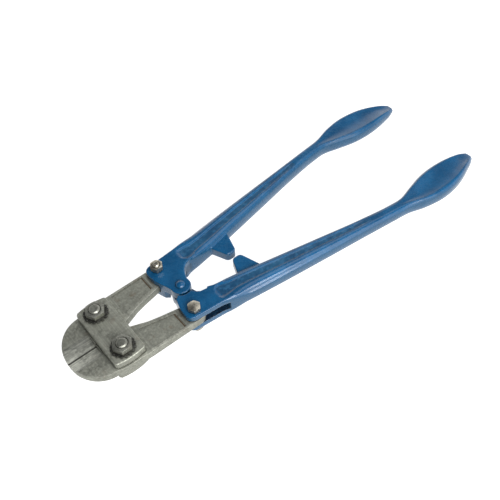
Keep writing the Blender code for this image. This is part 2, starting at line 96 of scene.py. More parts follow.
# centre rivet
RIVET_R, RIVET_HEAD_R, RIVET_HEAD_HIGH = 3.4, 4.6, 3.0
RIVET_DEPTH = 7.2
DOME_ANGLE = 84.0               # how far a rivet head's curve turns, in degrees

# jaws
BLADE_LONG, BLADE_WIDE = 29.0, 34.0
SEAM_HALF = 0.15
KNUCKLE_FRONT_Y, KNUCKLE_REAR_Y = 36.2, 37.6
NOTCH_R = 1.5
BEVEL_WIDE, EDGE_HALF = 13.5, 0.4
BEVEL_REAR_X = PLATE_FRONT - 1.2
ARM_END_R, ARM_END_Y = 10.0, 38.0
JAW_ROUND = 0.45
PANEL_FRONT_X, PANEL_REAR_X = 65.5, 97.0
PANEL_DEEP, PANEL_CORNER_R = 0.45, 1.4

# handle forks
CORNER_R, CORNER_X, CORNER_Y = 7.2, 108.8, 30.3
LOBE_R, LAP_GAP, SWING_ROOM = 9.5, 1.9, 41.0
LAP_REACH = 24.0                # how far the lap's cut-out reaches to the front
FORK_ROUND = 1.7
SLOT_HALF = JAW_HALF + GAP
SLOT_FRONT_X, SLOT_REAR_X = 80.0, 142.5
SLOT_WALL_Y, SLOT_TURN_Y = 15.4, 29.5
FORK_REAR_X, FORK_REAR_Y, FORK_OPEN_Y = 150.0, 41.2, 60.0
HOLLOW_X, HOLLOW_Y, HOLLOW_R = 145.0, 30.2, 8.8

# stop lugs
LUG_X, LUG_FACE_Y, LUG_HALF, LUG_ROUND = 179.5, 3.0, 5.2, 1.2
LUG_NOSE_R, LUG_NOSE_HALF = 4.6, 1.6

# handle shank and grip: x, centre line y, half width, half thickness
SHANK = (
    (134.0, 29.6, 10.1, 10.1),
    (146.0, 30.7, 11.8, 10.1),
    (160.0, 32.4, 12.1, 10.0),
    (197.0, 38.6, 10.7, 9.8),
    (248.0, 46.8, 8.5, 9.1),
    (299.0, 54.8, 6.3, 8.3),
    (336.0, 59.9, 5.7, 7.8),
    (352.0, 61.4, 6.2, 7.6),
    (372.0, 62.0, 11.3, 7.9),
    (392.0, 61.5, 15.3, 8.2),
    (408.0, 60.8, 15.9, 8.2),
    (426.0, 59.7, 14.0, 7.9),
    (442.0, 58.2, 10.2, 6.7),
    (453.0, 57.2, 7.0, 4.8),
    (460.0, 56.7, 3.8, 3.0),
)
SHANK_WIDEST, GRIP_WIDEST = 11.0, 16.0
SIDE_BULGE = 1.7
OUTER_ROUND, INNER_ROUND, INNER_SLOPE, GRIP_ROUND = 5.4, 2.0, 1.2, 2.8
BLEND_START, BLEND_END = 134.0, 172.0   # from the fork's section to the shank's
GRIP_START, GRIP_FULL = 338.0, 372.0    # from the shank's section to the grip's

# long recess of the shank and dish of the grip
POCKET_HALF, POCKET_DEEP, POCKET_OFFSET = 4.6, 1.2, 1.6
POCKET_START, POCKET_END = 136.0, 318.0
POCKET_RUN_IN, POCKET_RUN_OUT = 5.0, 40.0
POCKET_FLARE, FLARE_START, FLARE_END = 2.8, 140.0, 158.0
POCKET_FLOOR = 0.78             # share of the recess's width that is its floor
DISH_DEEP, DISH_SHARE, DISH_END = 1.2, 0.8, 445.0

# fineness of the handle's mesh
SHANK_SECTIONS, TIP_CROWDING = 170, 1.35
FORGING_VOXEL, FORGING_SMOOTHING = 0.5, 6

# plan outlines that are no simple arcs, left-hand side
ARM_INNER = ((52.0, 1.8), (60.0, 3.5), (67.0, 6.2), (75.0, 9.4), (86.0, 12.1),
             (97.0, 14.3), (106.0, 16.2))
NECK_FRONT = ((106.6, 8.0), (104.4, 14.0), (102.3, 21.0))
NECK_REAR = ((150.0, 20.6), (141.0, 19.0), (135.0, 16.6), (131.0, 12.4), (128.6, 7.5))
NECK_RELIEF = ((117.9, 4.0), (121.8, 10.9), (124.4, 14.6), (127.9, 17.1), (134.0, 18.2),
               (142.0, 10.0), (132.0, 0.0))
LUG_FRONT = ((166.5, 26.0), (167.5, 20.5))
LUG_ROOT = ((191.5, 26.0), (192.5, 33.0), (168.0, 33.0))

CLEAR, THROUGH = 2.0, 40.0      # how far cutters run past the piece, or through it


# ---- mesh helpers ------------------------------------------------------------------
def collection(name):
    group = bpy.data.collections.new(name)
    bpy.context.scene.collection.children.link(group)
    return group


PIECES = collection("pieces")


def add(name, mesh):
    obj = bpy.data.objects.new(name, mesh)
    PIECES.objects.link(obj)
    return obj


def realised(obj):
    """The object's mesh with its modifiers applied; the object itself is removed."""
    bpy.context.view_layer.update()
    mesh = bpy.data.meshes.new_from_object(obj.evaluated_get(
        bpy.context.evaluated_depsgraph_get()))
    bpy.data.objects.remove(obj)
    return mesh


def arc(centre, radius, start, end, steps):
    """Points on a circle, from one angle to another in degrees."""
    angles = np.radians(np.linspace(start, end, steps))
    return [(centre[0] + radius * math.cos(a), centre[1] + radius * math.sin(a))
            for a in angles]


def slab(outline, low, high, edge=0.0, segments=3):
    """A flat piece from its plan outline, between two heights, with rounded edges."""
    bm = bmesh.new()
    base = [bm.verts.new((x * MM, y * MM, low * MM)) for x, y in outline]
    face = bm.faces.new(base)
    lifted = bmesh.ops.extrude_face_region(bm, geom=[face])
    top = [v for v in lifted["geom"] if isinstance(v, bmesh.types.BMVert)]
    bmesh.ops.translate(bm, verts=top, vec=(0.0, 0.0, (high - low) * MM))
    bmesh.ops.recalc_face_normals(bm, faces=bm.faces)
    mesh = bpy.data.meshes.new("slab")
    bm.to_mesh(mesh)
    bm.free()
    if edge:
        obj = add("slab", mesh)
        bevel(obj, edge, segments, 60.0)
        mesh = realised(obj)
    return mesh


def turned(centre, profile, steps=72):
    """A turned piece from its (radius, height) profile, listed top to bottom."""
    bm = bmesh.new()
    rings = []
    for radius, z in profile:
        if radius < 1e-6:
            rings.append([bm.verts.new((centre[0] * MM, centre[1] * MM, z * MM))])
        else:
            rings.append([bm.verts.new((x * MM, y * MM, z * MM))
                          for x, y in arc(centre, radius, 0.0, 360.0, steps + 1)[:-1]])
    for ring, below in zip(rings, rings[1:]):
        for i in range(steps):
            j = (i + 1) % steps
            corners = [ring[i % len(ring)], ring[j % len(ring)],
                       below[j % len(below)], below[i % len(below)]]
            bm.faces.new(list(dict.fromkeys(corners)))
    bmesh.ops.recalc_face_normals(bm, faces=bm.faces)
    mesh = bpy.data.meshes.new("turned")
    bm.to_mesh(mesh)
    bm.free()
    return mesh


def boolean(obj, mesh, operation="DIFFERENCE"):
    """Cuts obj with a mesh, joins it to one or keeps what they share."""
    tool = add("tool", mesh)
    mod = obj.modifiers.new("Boolean", "BOOLEAN")
    mod.operation = operation
    mod.object = tool
    mod.solver = "EXACT"
    name = obj.name
    result = add("result", realised(obj))
    bpy.data.objects.remove(tool)
    result.name = name
    return result


def bevel(obj, width, segments, angle):
    """Rounds the edges that turn by more than an angle in degrees."""
    mod = obj.modifiers.new("Bevel", "BEVEL")
    mod.width = width * MM
    mod.segments = segments
    mod.limit_method = "ANGLE"
    mod.angle_limit = math.radians(angle)
    mod.use_clamp_overlap = True


def bore(obj, centre, radius):
    """Drills a round hole right through."""
    return boolean(obj, turned(centre, [(0.0, THROUGH), (radius, THROUGH),
                                        (radius, -THROUGH), (0.0, -THROUGH)]))


TURN_OVER = Matrix.Diagonal((1.0, -1.0, -1.0, 1.0))


def piece(name, mesh, body, node, mats=(), flipped=False, smooth_angle=32.0):
    """Puts a finished mesh in place of its CAD node and on that node's body.

    mats are the materials of a mesh that has none yet.
    """
    if flipped:
        mesh.transform(TURN_OVER)
    mesh.transform(Matrix.Translation(ORIGIN))
    mesh.name = name
    for mat in mats:
        mesh.materials.append(mat)
    obj = add(name, mesh)
    mesh.shade_smooth()
    mesh.set_sharp_from_angle(angle=math.radians(smooth_angle))
    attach(obj, body)
    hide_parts(node)
    return obj


# ---- handles -----------------------------------------------------------------------
def smooth_rows(rows, count):
    """Rows on a smooth curve through the given rows, closer together at the tip."""
    table = np.array(rows)
    xs = table[:, 0]
    slopes = np.gradient(table, xs, axis=0)
    ease = np.linspace(0.0, 1.0, count)
    wanted = xs[0] + (xs[-1] - xs[0]) * (1.0 - (1.0 - ease) ** TIP_CROWDING)
    result = []
    for x in wanted:
        i = min(np.searchsorted(xs, x, side="right") - 1, len(xs) - 2)
        h = xs[i + 1] - xs[i]
        t = (x - xs[i]) / h
        result.append((1 + 2 * t) * (1 - t) ** 2 * table[i]
                      + t * (1 - t) ** 2 * h * slopes[i]
                      + t * t * (3 - 2 * t) * table[i + 1]
                      + t * t * (t - 1) * h * slopes[i + 1])
    return result


def ramp(x, start, end):
    """Smooth rise from 0 at start to 1 at end."""
    t = min(max((x - start) / (end - start), 0.0), 1.0)
    return t * t * (3.0 - 2.0 * t)


def cut_corners(points):
    """One round of corner cutting on a closed outline."""
    result = []
    for p, q in zip(points, points[1:] + points[:1]):
        result.append([0.8 * a + 0.2 * b for a, b in zip(p, q)])
        result.append([0.2 * a + 0.8 * b for a, b in zip(p, q)])
    return result


def recess_place(x, half_width):
    """Middle and half width of the shank's recess or the grip's dish, from the centre."""
    grip = ramp(x, GRIP_START, GRIP_FULL)
    scale = half_width / SHANK_WIDEST * (1.0 - grip)
    flare = POCKET_FLARE * (1.0 - ramp(x, FLARE_START, FLARE_END))
    half_pocket = (POCKET_HALF + flare) * scale + DISH_SHARE * half_width * grip
    return -POCKET_OFFSET * scale, half_pocket


def shank_section(x, centre, half_width, half_thick):
    """Closed section of shank or grip, from its outer side over the top and back."""
    grip = ramp(x, GRIP_START, GRIP_FULL)
    shank = 1.0 - grip
    scale = half_width / SHANK_WIDEST * shank
    away = ramp(x, BLEND_START, BLEND_END)
    flank = GRIP_ROUND * grip * half_width / GRIP_WIDEST
    outer = (FORK_ROUND + (OUTER_ROUND - FORK_ROUND) * away) * scale + flank
    inner = INNER_ROUND * scale + flank
    slope = INNER_SLOPE * scale * away
    bulge = SIDE_BULGE * away
    pocket = POCKET_DEEP * ramp(x, POCKET_START, POCKET_START + POCKET_RUN_IN)
    pocket *= 1.0 - ramp(x, POCKET_END - POCKET_RUN_OUT, POCKET_END)
    dish = DISH_DEEP * grip * (1.0 - ramp(x, DISH_END, LENGTH))
    middle, half_pocket = recess_place(x, half_width)
    recess = []
    for t in (1.0, POCKET_FLOOR, 0.5, 0.25, 0.0, -0.25, -0.5, -POCKET_FLOOR, -1.0):
        walls = 0.1 if abs(t) == 1.0 else 1.0
        height = half_thick - pocket * walls - dish * (1.0 - t * t)
        recess.append((middle + half_pocket * t, height))
    recess[-1] = (recess[-1][0], recess[-1][1] - 0.3 * slope)
    upper = [
        (half_width + bulge, 0.0),
        (half_width + 0.75 * bulge, 0.5 * half_thick),
        (half_width + 0.1, half_thick - 0.8 * outer),
        (half_width - 0.4 * outer, half_thick - 0.22 * outer),
        (half_width - outer, half_thick),
        *recess,
        (inner - half_width, half_thick - slope),
        (0.3 * inner - half_width, half_thick - slope - 0.3 * inner),
        (-half_width - 0.1, half_thick - slope - inner),
        (-half_width - 0.75 * bulge, 0.5 * half_thick),
        (-half_width - bulge, 0.0),
    ]
    lower = [(u, -v) for u, v in reversed(upper[1:-1])]
    return [(x, centre + u, v) for u, v in cut_corners(upper + lower)]


def shank():
    """Loft of the shank and grip through its sections."""
    bm = bmesh.new()
    rings = []
    for row in smooth_rows(SHANK, SHANK_SECTIONS):
        rings.append([bm.verts.new(Vector(p) * MM) for p in shank_section(*row)])
    count = len(rings[0])
    for ring, following in zip(rings, rings[1:]):
        for i in range(count):
            j = (i + 1) % count
            bm.faces.new((ring[i], ring[j], following[j], following[i]))
    for ring in (rings[0], rings[-1]):
        bm.faces.new(ring)
    bmesh.ops.recalc_face_normals(bm, faces=bm.faces)
    mesh = bpy.data.meshes.new("shank")
    bm.to_mesh(mesh)
    bm.free()
    return mesh


def fork_outline():
    """Left handle's front in plan: lapped lobe, neck and boss, clockwise."""
    lobe = arc((CENTRE_X, 0.0), LOBE_R, 15.0, -190.0, 44)
    corner = arc((CORNER_X, CORNER_Y), CORNER_R, 185.0, 96.0, 20)
    hollow = arc((HOLLOW_X, HOLLOW_Y), HOLLOW_R, 55.0, 305.0, 30)
    return [*lobe, *NECK_FRONT, *corner, (FORK_REAR_X, FORK_REAR_Y), *hollow, *NECK_REAR]


def lap_outline():
    """Where a handle gives way to the other one's lobe, in the half it leaves free."""
    circle = arc((CENTRE_X, 0.0), LOBE_R + LAP_GAP, -180.0, 180.0 - SWING_ROOM, 60)
    angle = math.radians(180.0 - SWING_ROOM)
    corner = (CENTRE_X + LAP_REACH * math.cos(angle), LAP_REACH * math.sin(angle))
    return circle + [corner, (CENTRE_X - LAP_REACH, 0.0)]


def slot_outline():
    """Fork slot in plan, open to the front and to the outer side."""
    wall_radius = ARM_BOLT_Y - SLOT_WALL_Y
    curve = arc((ARM_BOLT_X, ARM_BOLT_Y), wall_radius, -90.0, -22.0, 16)
    rear = [(SLOT_REAR_X, SLOT_TURN_Y), (SLOT_REAR_X, FORK_OPEN_Y)]
    return [(SLOT_FRONT_X, SLOT_WALL_Y), *curve, *rear, (SLOT_FRONT_X, FORK_OPEN_Y)]


def lug_outline():
    """Stop lug in plan, a rounded tongue that stands in from the shank."""
    centre_y = LUG_FACE_Y + LUG_NOSE_R
    first = arc((LUG_X - LUG_NOSE_HALF, centre_y), LUG_NOSE_R, 205.0, 270.0, 12)
    second = arc((LUG_X + LUG_NOSE_HALF, centre_y), LUG_NOSE_R, 270.0, 345.0, 12)
    return [*LUG_FRONT, *first, *second, *LUG_ROOT]


def forged_handle():
    """Left handle as one forging: joined, cut, then remeshed and eased all over."""
    body = add("handle", slab(fork_outline(), -FORK_HALF, FORK_HALF, FORK_ROUND))
    body = boolean(body, shank(), "UNION")
    body = boolean(body, slab(lug_outline(), -LUG_HALF, LUG_HALF, LUG_ROUND), "UNION")
    body = boolean(body, slab(slot_outline(), -SLOT_HALF, SLOT_HALF))
    body = boolean(body, slab(lap_outline(), -THROUGH, GAP / 2))
    body = boolean(body, slab(NECK_RELIEF, -THROUGH, GAP / 2))
    body = bore(body, (ARM_BOLT_X, ARM_BOLT_Y), ARM_BOLT_R + GAP)
    skin = body.modifiers.new("Skin", "REMESH")
    skin.mode = "VOXEL"
    skin.voxel_size = FORGING_VOXEL * MM
    ease = body.modifiers.new("Ease", "SMOOTH")
    ease.factor = 0.5
    ease.iterations = FORGING_SMOOTHING
    return realised(body)


def mark_recess(mesh):
    """Gives the cast floor of the shank's recess its own paint, and the fork slot a
    near-black paint that is painted shade.
    """
    rows = np.array(smooth_rows(SHANK, SHANK_SECTIONS))
    skin = 0.4                  # a slot face may lie this far outside the slot
    floor_start, floor_end = POCKET_START + 4.0, POCKET_END - 12.0
    faint_from = 260.0          # behind this the recess is too shallow to tell by depth
    for poly in mesh.polygons:
        x, y, z = poly.center / MM
        # The fork slot's faces get the near-black paint: painted shade.
        if x < SLOT_REAR_X + skin and y > SLOT_WALL_Y - skin and abs(z) < SLOT_HALF + 0.3:
            poly.material_index = 2
            continue
        if not floor_start < x < floor_end or abs(poly.normal.z) < 0.93:
            continue
        centre, half_width, half_thick = [np.interp(x, rows[:, 0], rows[:, i])
                                          for i in (1, 2, 3)]
        middle, half_pocket = recess_place(x, half_width)
        inside = abs(y - centre - middle) < POCKET_FLOOR * half_pocket
        if inside and abs(z) < half_thick - 0.5 * POCKET_DEEP * (x < faint_from):
            poly.material_index = 1


def handles():
    left = forged_handle()
    left.materials.clear()
    for mat in (PAINT, CAST_PAINT, SHADED_SLOT_PAINT):
        left.materials.append(mat)
    mark_recess(left)
    right = left.copy()
    for side, mesh in (("left", left), ("right", right)):
        piece(side + "_handle_forging", mesh, side + "_handle", "handle_" + side,
              flipped=side == "right", smooth_angle=75.0)


def dome(radius, base, high, steps=10):
    """Half profile of a domed rivet head, from its crown to its rim."""
    return [(radius * math.sin(t), base + high * math.cos(t))
            for t in np.linspace(0.0, math.radians(DOME_ANGLE), steps)]


def rivet():
    """Both heads of the centre rivet, the shaft with the upper one."""
    base = FORK_HALF + GAP
    centre = (CENTRE_X, 0.0)
    head = dome(RIVET_HEAD_R, base, RIVET_HEAD_HIGH) + [(RIVET_HEAD_R, base)]
    upper = head + [(RIVET_R, base), (RIVET_R, -RIVET_DEPTH), (0.0, -RIVET_DEPTH)]
    piece("rivet_head_upper", turned(centre, upper), "left_handle", "centre_rivet",
          [PAINT])
    stub, stub_end = RIVET_R - 1.0, FORK_HALF - 1.2
    lower = head + [(stub, base), (stub, stub_end), (0.0, stub_end)]
    piece("rivet_head_lower", turned(centre, lower), "right_handle", "centre_rivet_tail",
          [PAINT], flipped=True)


# ---- jaws and plates ---------------------------------------------------------------
def blade_bevel(side):
    """Wedge that grinds one face of a blade down to its cutting edge."""
    slope = (JAW_HALF - EDGE_HALF) / (BEVEL_WIDE - SEAM_HALF)
    inner_y, outer_y = -CLEAR, BEVEL_WIDE + CLEAR
    low = EDGE_HALF + slope * (inner_y - SEAM_HALF)
    high = EDGE_HALF + slope * (outer_y - SEAM_HALF)
    top = high + CLEAR
    section = [(inner_y, low), (outer_y, high), (outer_y, top), (inner_y, top)]
    mesh = slab(section, -CLEAR, BEVEL_REAR_X)
    mesh.transform(Matrix(((0, 0, 1, 0), (1, 0, 0, 0), (0, side, 0, 0), (0, 0, 0, 1))))
    if side < 0:
        mesh.flip_normals()
    return mesh


def jaw_outline():
    """Left jaw in plan: blade, knuckle and arm, anticlockwise from the knuckle."""
    arm_centre = (ARM_BOLT_X, ARM_END_Y - ARM_END_R)
    inner = [(JAW_BOLT_X - 2.0, SEAM_HALF), *ARM_INNER]
    end = arc(arm_centre, ARM_END_R, -78.0, 92.0, 28)
    outer = [(PLATE_REAR + 3.0, KNUCKLE_REAR_Y), (PLATE_FRONT + 5.0, KNUCKLE_FRONT_Y)]
    blade = [(BLADE_LONG * (1.0 - math.sin(t)), BLADE_WIDE * math.cos(t))
             for t in np.linspace(0.02, math.radians(87.5), 48)]
    front = [(0.0, SEAM_HALF)]
    notch = arc((PLATE_FRONT + 2 * NOTCH_R, SEAM_HALF), NOTCH_R, 180.0, 0.0, 13)
    return inner + end + outer + blade + front + notch


def panel_outline():
    """Shallow sunk panel in a jaw's arm, with rounded corners."""
    corners = [(PANEL_FRONT_X, 12.5, 225.0), (PANEL_REAR_X, 19.6, 300.0),
               (PANEL_REAR_X, 34.2, 45.0), (PANEL_FRONT_X, 33.4, 135.0)]
    result = []
    for x, y, angle in corners:
        result += arc((x, y), PANEL_CORNER_R, angle - 40.0, angle + 40.0, 6)
    return result


def jaws():
    body = add("jaw", slab(jaw_outline(), -JAW_HALF, JAW_HALF, JAW_ROUND, 2))
    for side in (1.0, -1.0):
        body = boolean(body, blade_bevel(side))
    low = JAW_HALF - PANEL_DEEP
    body = boolean(body, slab(panel_outline(), low, JAW_HALF + CLEAR))
    body = boolean(body, slab(panel_outline(), -JAW_HALF - CLEAR, -low))
    body = bore(body, (JAW_BOLT_X, JAW_BOLT_Y), JAW_BOLT_R + GAP)
    body = bore(body, (ARM_BOLT_X, ARM_BOLT_Y), ARM_BOLT_R + GAP)
    left = realised(body)
    left.materials.clear()
    for mat in (JAW_STEEL, GROUND_STEEL, PANEL_STEEL):
        left.materials.append(mat)
    for poly in left.polygons:
        ground = 0.9 < abs(poly.normal.z) < 0.98
        sunk = abs(abs(poly.center.z) - low * MM) < 1e-6
        poly.material_index = 1 if ground else (2 if sunk else 0)
    right = left.copy()
    for side, mesh in (("left", left), ("right", right)):
        piece(side + "_jaw_forging", mesh, side + "_jaw", "jaw_" + side,
              flipped=side == "right")


def plate_outline():
    """Strap plate in plan, with crowned ends and small rounded corners."""
    half = (PLATE_REAR - PLATE_FRONT) / 2
    middle = (PLATE_REAR + PLATE_FRONT) / 2
    radius = (half ** 2 + PLATE_CROWN ** 2) / (2 * PLATE_CROWN)
    centre_y = PLATE_HALF_WIDTH + PLATE_CROWN - radius
    spread = math.degrees(math.asin((half - PLATE_CORNER) / radius))
    end = arc((middle, centre_y), radius, 90.0 - spread, 90.0 + spread, 21)
    corner_y = PLATE_HALF_WIDTH - PLATE_CORNER
    top = [(PLATE_REAR, corner_y)] + end + [(PLATE_FRONT, corner_y)]
    return top + [(PLATE_FRONT + PLATE_REAR - x, -y) for x, y in top]


def plates():
    for name, low in (("top_plate", STACK_HALF - PLATE_THICK), ("bottom_plate", -STACK_HALF)):
        body = add(name, slab(plate_outline(), low, low + PLATE_THICK, PLATE_ROUND, 4))
        for y in (JAW_BOLT_Y, -JAW_BOLT_Y):
            body = bore(body, (JAW_BOLT_X, y), JAW_BOLT_R + GAP)
        piece(name + "_strap", realised(body), "head", name, [PLATE_STEEL])


# ---- fasteners ---------------------------------------------------------------------
def hexagon(centre, flats, low, high):
    outline = arc(centre, flats / math.sqrt(3), 0.0, 300.0, 6)
    return slab(outline, low, high)


def bolt_mesh(centre, radius, flats, head_high, seat, end_z):
    """Hexagon bolt, its head under the face at -seat, with a domed, threaded end."""
    head_top = -seat - GAP
    head_low = head_top - head_high
    corner = flats / math.sqrt(3)
    body = add("bolt", hexagon(centre, flats, head_low, head_top))
    body = boolean(body, turned(centre, [
        (0.0, head_top + CLEAR), (corner + CLEAR, head_top + CLEAR),
        (corner + CLEAR, head_low + HEX_DROP), (flats / 2 - HEX_INSET, head_low - 0.1),
        (0.0, head_low - 0.1)]), "INTERSECT")
    profile = [(0.0, end_z - 0.1), (radius * 0.45, end_z - 0.1), (radius * 0.58, end_z),
               (radius * 0.74, end_z - 0.12), (radius * 0.86, end_z - 0.45),
               (radius * 0.94, end_z - 1.0)]
    z = end_z - 1.3             # from here the thread runs down to inside the nut
    while z > seat + 2.0:
        profile += [(radius, z), (radius - THREAD_DEEP, z - THREAD_PITCH / 2)]
        z -= THREAD_PITCH
    profile += [(radius, z), (radius, head_top - 1.0), (0.0, head_top - 1.0)]
    body = boolean(body, turned(centre, profile), "UNION")
    return realised(body)


def nut_mesh(centre, bore_r, flats, low, high):
    """Hexagon nut, chamfered above and a little below, with a countersunk bore."""
    corner = flats / math.sqrt(3)
    body = add("nut", hexagon(centre, flats, low, high))
    body = boolean(body, turned(centre, [
        (0.0, high + 0.1), (flats / 2 - HEX_INSET, high + 0.1),
        (corner + CLEAR, high - HEX_DROP), (corner + CLEAR, low + 1.0),
        (flats / 2 + 0.2, low - 0.1), (0.0, low - 0.1)]),
        "INTERSECT")
    inner = bore_r + GAP
    body = boolean(body, turned(centre, [
        (0.0, high + 1.0), (inner + COUNTERSINK, high + 1.0), (inner, high - 0.4),
        (inner, low - 1.0), (0.0, low - 1.0)]))
    return realised(body)


def tooth_washer_mesh(centre):
    """Lock washer with teeth round its outer edge."""
    outline = []
    width = 360.0 / TEETH
    for tooth in range(TEETH):
        start = width * tooth
        outline += arc(centre, TOOTH_WASHER_R, start, start + width * 0.5, 4)
        outline += arc(centre, TOOTH_WASHER_R - TOOTH_DEEP, start + width * 0.62,
                       start + width * 0.88, 3)
    low = STACK_HALF + GAP
    body = add("washer", slab(outline, low, low + TOOTH_WASHER_THICK, 0.15, 2))
    return realised(bore(body, centre, JAW_BOLT_R + GAP))


def spring_washer_mesh(centre):
    """Split spring washer: a square-section ring with a slanted cut."""
    low = FORK_HALF + GAP
    high = low + SPRING_WASHER_THICK
    inner, outer, edge = ARM_BOLT_R + GAP, SPRING_WASHER_R, SPRING_WASHER_ROUND
    ring = turned(centre, [(inner, high), (outer - edge, high), (outer, high - edge),
                           (outer, low + edge), (outer - edge, low), (inner, low),
                           (inner, high)])
    split = [(centre[0] - 0.6, centre[1] - 14.0), (centre[0] + 0.6, centre[1] - 14.0),
             (centre[0] + 0.2, centre[1]), (centre[0] - 1.0, centre[1])]
    body = add("washer", ring)
    weld = body.modifiers.new("Weld", "WELD")
    weld.merge_threshold = 1e-6
    body = add("washer", realised(body))
    return realised(boolean(body, slab(split, low - CLEAR, high + CLEAR)))


def jaw_fasteners():
    """Both jaw bolts point up."""
    for side, y in (("left", JAW_BOLT_Y), ("right", -JAW_BOLT_Y)):
        centre = (JAW_BOLT_X, y)
        nut_low = STACK_HALF + TOOTH_WASHER_THICK + 2 * GAP
        end = nut_low + JAW_NUT_HIGH + BOLT_END
        piece(side + "_jaw_pivot_bolt",
              bolt_mesh(centre, JAW_BOLT_R, JAW_NUT_FLATS, JAW_HEAD_HIGH, STACK_HALF, end),
              "head", "jaw_bolt_" + side, [DARK_STEEL])
        piece(side + "_jaw_toothed_washer", tooth_washer_mesh(centre), "head",
              "jaw_lock_washer_" + side, [WASHER_STEEL])
        piece(side + "_jaw_pivot_nut",
              nut_mesh(centre, JAW_BOLT_R, JAW_NUT_FLATS, nut_low, nut_low + JAW_NUT_HIGH),
              "head", "jaw_nut_" + side, [DARK_STEEL])


def arm_fasteners():
    """The left handle's bolt points up and the right one's down."""
    centre = (ARM_BOLT_X, ARM_BOLT_Y)
    nut_low = FORK_HALF + SPRING_WASHER_THICK + 2 * GAP
    nut_high = nut_low + ARM_NUT_HIGH
    for side in ("left", "right"):
        flipped = side == "right"
        body = side + "_handle"
        piece(side + "_arm_pivot_bolt",
              bolt_mesh(centre, ARM_BOLT_R, ARM_NUT_FLATS, ARM_HEAD_HIGH, FORK_HALF,
                        nut_high + BOLT_END),
              body, "arm_bolt_" + side, [ZINC], flipped)
        piece(side + "_arm_split_washer", spring_washer_mesh(centre), body,
              "arm_spring_washer_" + side, [ZINC], flipped)
        piece(side + "_arm_pivot_nut",
              nut_mesh(centre, ARM_BOLT_R, ARM_NUT_FLATS, nut_low, nut_high),
              body, "arm_nut_" + side, [ZINC], flipped)


# ---- materials ---------------------------------------------------------------------
class Nodes:
    """Small helper that adds nodes to a material and links them."""

    def __init__(self, name):
        self.mat = bpy.data.materials.new(name)
        self.mat.use_nodes = True
        self.tree = self.mat.node_tree
        self.shader = self.tree.nodes["Principled BSDF"]
        self.coords = self.tree.nodes.new("ShaderNodeTexCoord").outputs["Object"]

    def link(self, source, target):
        self.tree.links.new(source, target)

    def noise(self, scale, detail, stretch=(1.0, 1.0, 1.0)):
        """Noise with features of 1/scale millimetres, stretched along an axis."""
        mapping = self.tree.nodes.new("ShaderNodeMapping")
        mapping.inputs["Scale"].default_value = stretch
        self.link(self.coords, mapping.inputs["Vector"])
        node = self.tree.nodes.new("ShaderNodeTexNoise")
        node.inputs["Scale"].default_value = scale / MM
        node.inputs["Detail"].default_value = detail
        node.inputs["Roughness"].default_value = 0.55
        self.link(mapping.outputs["Vector"], node.inputs["Vector"])
        return node.outputs["Fac"]

    def band(self, value, low, high, out_low=0.0, out_high=1.0):
        """Maps a value from one range to another, clamped."""
        node = self.tree.nodes.new("ShaderNodeMapRange")
        node.clamp = True
        self.link(value, node.inputs["Value"])
        for key, number in (("From Min", low), ("From Max", high), ("To Min", out_low),
                            ("To Max", out_high)):
            node.inputs[key].default_value = number
        return node.outputs["Result"]

    def mix(self, factor, first, second):
        """Mixes two colours, each given as a colour or a socket."""
        node = self.tree.nodes.new("ShaderNodeMix")
        node.data_type = "RGBA"
        self.set(node.inputs["Factor"], factor)
        self.set(node.inputs[6], first)
        self.set(node.inputs[7], second)
        return node.outputs[2]

    def math(self, operation, first, second=0.0):
        node = self.tree.nodes.new("ShaderNodeMath")
        node.operation = operation
        self.set(node.inputs[0], first)
        self.set(node.inputs[1], second)
        return node.outputs[0]

    def share(self, mask, amount):
        """A mask made weaker."""
        return self.math("MULTIPLY", mask, amount)

    def axis(self, vector, name):
        """One of a vector's X, Y and Z."""
        split = self.tree.nodes.new("ShaderNodeSeparateXYZ")
        self.link(vector, split.inputs[0])
        return split.outputs[name]

    def set(self, socket, value):
        if isinstance(value, bpy.types.NodeSocket):
            self.link(value, socket)
        elif isinstance(value, tuple) and len(value) == 3:
            socket.default_value = (*value, 1.0)
        else:
            socket.default_value = value

    def near(self, axis, centre, half_width):
        """Mask of the points within half_width of a plane across an axis."""
        offset = self.math("SUBTRACT", self.axis(self.coords, axis), centre)
        distance = self.math("ABSOLUTE", offset)
        return self.band(distance, 0.5 * half_width * MM, 1.5 * half_width * MM, 1.0, 0.0)

    def edges(self, radius, low=0.02, high=0.25):
        """Mask of the sharp outside edges, from how far a rounded normal turns."""
        rounded = self.tree.nodes.new("ShaderNodeBevel")
        rounded.samples = 4
        rounded.inputs["Radius"].default_value = radius * MM
        plain = self.tree.nodes.new("ShaderNodeNewGeometry").outputs["Normal"]
        dot = self.tree.nodes.new("ShaderNodeVectorMath")
        dot.operation = "DOT_PRODUCT"
        self.link(rounded.outputs["Normal"], dot.inputs[0])
        self.link(plain, dot.inputs[1])
        return self.band(dot.outputs["Value"], 1.0 - low, 1.0 - high)

    def walls(self):
        """Mask of the faces that stand upright rather than lie flat."""
        normal = self.tree.nodes.new("ShaderNodeNewGeometry").outputs["True Normal"]
        level = self.math("ABSOLUTE", self.axis(normal, "Z"))
        return self.band(level, 0.35, 0.75, 1.0, 0.0)

    def crevices(self, distance):
        """Mask of the closed-in corners, from how closed in a point is; it drives painted
        shade.
        """
        node = self.tree.nodes.new("ShaderNodeAmbientOcclusion")
        node.samples = 8
        node.inputs["Distance"].default_value = distance * MM
        return self.band(node.outputs["AO"], 0.3, 0.9, 1.0, 0.0)

    def bump(self, height, distance, strength, below=None):
        """Normals of a height map that stands so many millimetres high."""
        node = self.tree.nodes.new("ShaderNodeBump")
        node.inputs["Strength"].default_value = strength
        node.inputs["Distance"].default_value = distance * MM
        self.link(height, node.inputs["Height"])
        if below is not None:
            self.link(below, node.inputs["Normal"])
        return node.outputs["Normal"]

    def finish(self, colour, roughness, normal, metallic):
        self.link(colour, self.shader.inputs["Base Color"])
        self.link(roughness, self.shader.inputs["Roughness"])
        self.link(normal, self.shader.inputs["Normal"])
        self.shader.inputs["Metallic"].default_value = metallic
        return self.mat


